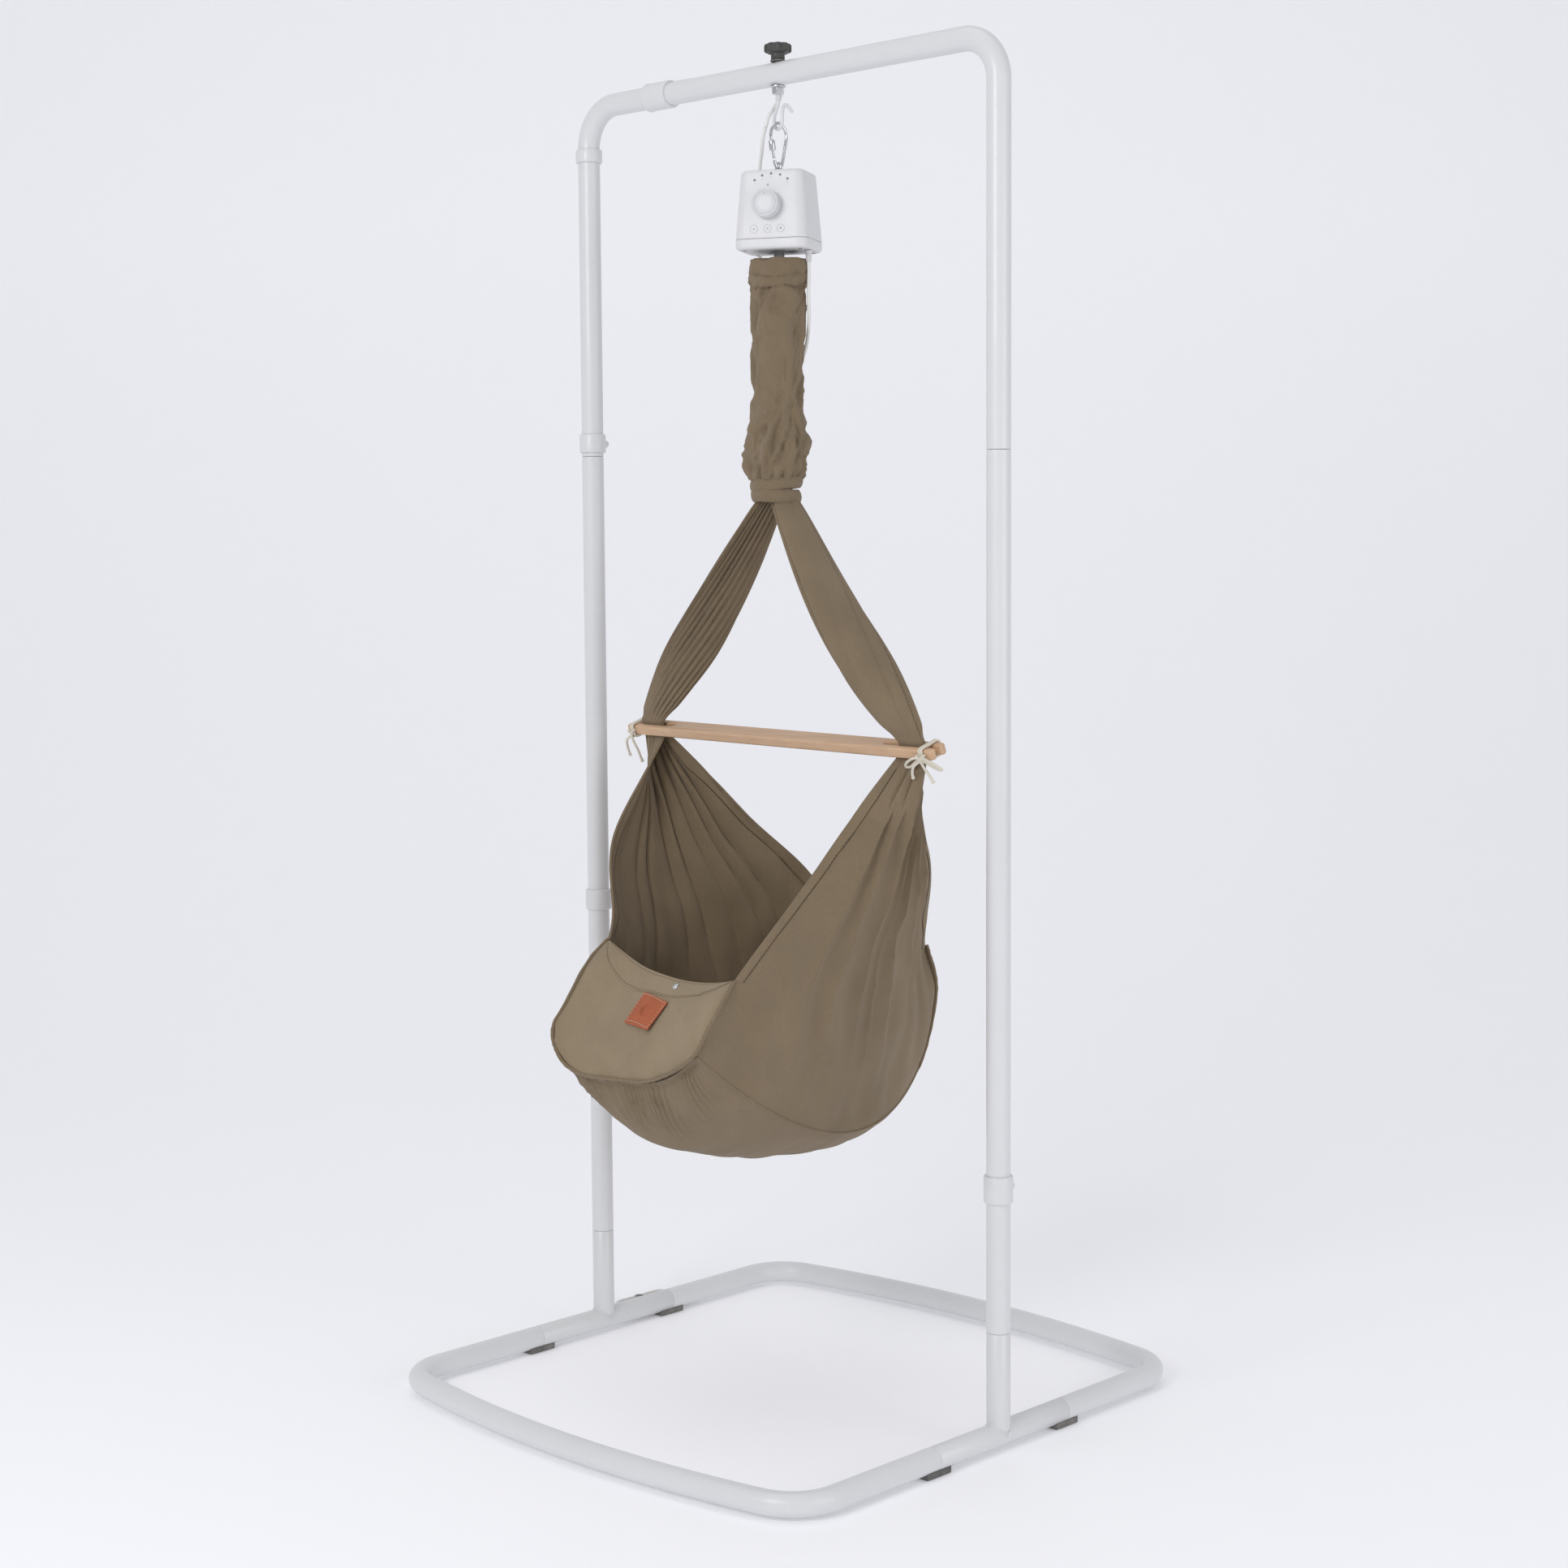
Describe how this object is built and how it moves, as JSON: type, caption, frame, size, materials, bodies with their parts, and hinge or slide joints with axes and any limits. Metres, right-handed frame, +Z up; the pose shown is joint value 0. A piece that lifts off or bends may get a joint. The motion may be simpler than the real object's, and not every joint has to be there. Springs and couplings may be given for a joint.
{
  "type": "motorised baby hammock",
  "caption": "Free-standing tubular stand with a hook, a motor box, a sprung sleeve, a forked wooden spreader bar and a hanging cloth cradle for a baby.",
  "frame": {"origin": "on the floor at the middle of the stand's footprint", "axes": "+X along the crossbar, towards the upright with the low clamp; -Y the labelled end of the cradle; +Z up"},
  "size_m": [0.8493, 0.8718, 1.876],
  "materials": {
    "white_steel": "white powder coat, satin",
    "white_plastic": "fine moulded grain, satin",
    "black_plastic": "moulded, satin",
    "chrome": "polished plating",
    "dark_rubber": "matt",
    "taupe_cotton": "plain woven cotton",
    "light_cotton": "plain woven cotton",
    "beech": "oiled, fine grain",
    "cotton_cord": "twisted cotton",
    "leather": "tan, lightly grained",
    "grey_webbing": "tight woven webbing",
    "grey_metal": "plain",
    "white_lead": "smooth soft PVC",
    "green_board": "coated board",
    "light_guide": "translucent grey",
    "foam": "foam in a cotton cover"
  },
  "bodies": {
    "stand": {"base_front_rail": "white_steel", "base_rear_rail": "white_steel", "base_left_tee": "white_steel", "base_right_tee": "white_steel", "foot_front_left": "dark_rubber", "foot_front_right": "dark_rubber", "foot_rear_left": "dark_rubber", "foot_rear_right": "dark_rubber", "left_lower_leg": "white_steel", "left_middle_leg": "white_steel", "left_upper_leg": "white_steel", "left_elbow": "white_steel", "right_lower_leg": "white_steel", "right_upper_leg": "white_steel", "crossbar": "white_steel", "left_lower_collar": "white_steel", "left_bolted_collar": "white_steel", "left_elbow_collar": "white_steel", "right_bolted_collar": "white_steel", "crossbar_collar": "white_steel", "left_collar_bolt": "chrome", "right_collar_bolt": "chrome", "knob_washer": "dark_rubber", "supply_lead": "white_lead", "lead_hank": "white_lead", "lead_plug": "black_plastic"},
    "star_knob": {"star_knob": "black_plastic"},
    "hook": {"hook": "white_steel", "hook_nut": "chrome"},
    "carabiner": {"carabiner": "chrome"},
    "carabiner_gate": {"carabiner_gate": "chrome"},
    "screw_sleeve": {"carabiner_screw_sleeve": "chrome"},
    "motor": {"motor_case": "white_plastic", "motor_bottom_cover": "white_plastic", "motor_eye": "chrome", "light_guides": "light_guide", "circuit_board": "green_board", "gearmotor": "grey_metal", "cable_gland": "white_plastic", "motor_lead": "white_lead"},
    "dial": {"dial_knob": "white_plastic"},
    "drum": {"drive_drum": "black_plastic"},
    "lift_strap": {"lift_strap": "grey_webbing", "spring": "chrome", "sleeve": "taupe_cotton"},
    "hammock": {"lower_carabiner": "chrome", "neck_loop": "taupe_cotton", "left_strap": "taupe_cotton", "right_strap": "taupe_cotton", "spreader_bar": "beech", "left_fork_tie": "cotton_cord", "right_fork_tie": "cotton_cord", "left_side_panel": "taupe_cotton", "right_side_panel": "taupe_cotton", "cradle_bottom": "taupe_cotton", "front_end_panel": "light_cotton", "rear_end_panel": "light_cotton", "mattress": "foam", "leather_label": "leather", "press_stud": "chrome"}
  },
  "joints": [
    {"name": "knob_turn", "type": "hinge", "parent": "hook", "child": "star_knob", "pos_m": [0, 0, 1.862], "axis": [0, 0, 1], "continuous": true},
    {"name": "hook_turn", "type": "hinge", "parent": "stand", "child": "hook", "pos_m": [0, 0, 1.8], "axis": [0, 0, 1], "range_deg": [-12, 12]},
    {"name": "fore_aft_swing", "type": "hinge", "parent": "hook", "child": "carabiner", "pos_m": [0, 0, 1.761], "axis": [0.9848, -0.1736, 0], "range_deg": [-12, 12]},
    {"name": "motor_sway", "type": "hinge", "parent": "carabiner", "child": "motor", "pos_m": [0, 0, 1.7106], "axis": [0.1736, 0.9848, 0], "range_deg": [-2, 2]},
    {"name": "gate_open", "type": "hinge", "parent": "carabiner", "child": "carabiner_gate", "pos_m": [-0.00132, -0.00749, 1.721], "axis": [-0.9848, 0.1736, 0], "range_deg": [0, 16], "stiffness_Nm_per_rad": 0.05, "springref_deg": -5.73},
    {"name": "sleeve_nut_turn", "type": "hinge", "parent": "carabiner_gate", "child": "screw_sleeve", "pos_m": [-0.00185, -0.01049, 1.73822], "axis": [0.0303, 0.172, -0.9846], "continuous": true},
    {"name": "dial_turn", "type": "hinge", "parent": "motor", "child": "dial", "pos_m": [0.01595, -0.03791, 1.654], "axis": [0.453, -0.8891, 0.0661], "range_deg": [-135, 135]},
    {"name": "strap_lift", "type": "slide", "parent": "motor", "child": "lift_strap", "axis": [0, 0, 1], "range_m": [-0.012, 0.012]},
    {"name": "drum_turn", "type": "hinge", "parent": "motor", "child": "drum", "pos_m": [-0.00713, 0.01399, 1.65], "axis": [0.891, 0.454, 0], "range_deg": [-60, 60]},
    {"name": "spring_bounce", "type": "slide", "parent": "lift_strap", "child": "hammock", "axis": [0, 0, 1], "range_m": [-0.09, 0.025], "stiffness_N_per_m": 450, "springref_m": 0.03417, "deforming": ["spring", "sleeve"]}
  ],
  "couplings": [
    {"joint": "drum_turn", "follows": "strap_lift", "rad_per_m": -66.225}
  ]
}
